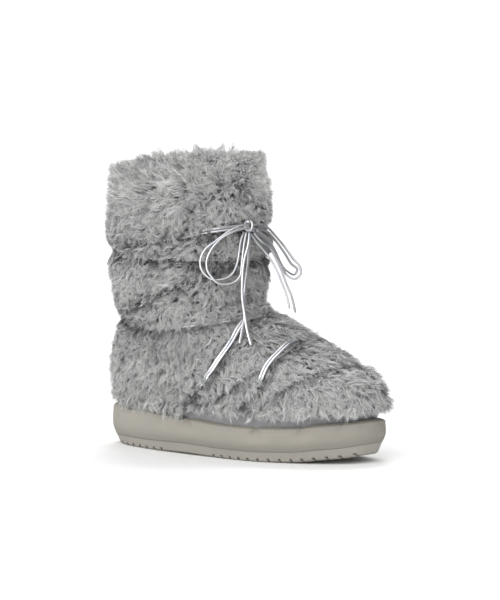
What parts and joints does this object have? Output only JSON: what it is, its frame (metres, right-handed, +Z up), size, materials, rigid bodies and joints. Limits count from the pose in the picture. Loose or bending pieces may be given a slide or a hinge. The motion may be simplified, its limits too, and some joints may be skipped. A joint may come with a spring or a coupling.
{
  "type": "snow boot",
  "caption": "Ankle-high snow boot for the right foot with a deep-pile fur upper, criss-crossed wrap-round cord lacing tied in a bow, and a thick puffy platform sole.",
  "frame": {"origin": "on the floor, under the middle of the boot", "axes": "+Z up, the toe points along -Y, +X is the inner side of the foot"},
  "size_m": [0.1376, 0.2854, 0.2704],
  "materials": {
    "platform": "matte foam",
    "bottom": "matte",
    "band": "matte",
    "lining": "fleece",
    "pile": "deep fur",
    "foil": "silver foil cord"
  },
  "bodies": {
    "root": {"outsole": "bottom", "midsole": "platform", "insole": "lining", "rand": "band", "upper": "pile", "lace_wraps": "foil", "knot": "foil", "left_loop_outer": "foil", "left_loop_inner": "foil", "right_loop_outer": "foil", "right_loop_inner": "foil", "centre_end_left": "foil", "centre_end_right": "foil", "right_end_outer": "foil", "right_end_inner": "foil"}
  },
  "joints": []
}
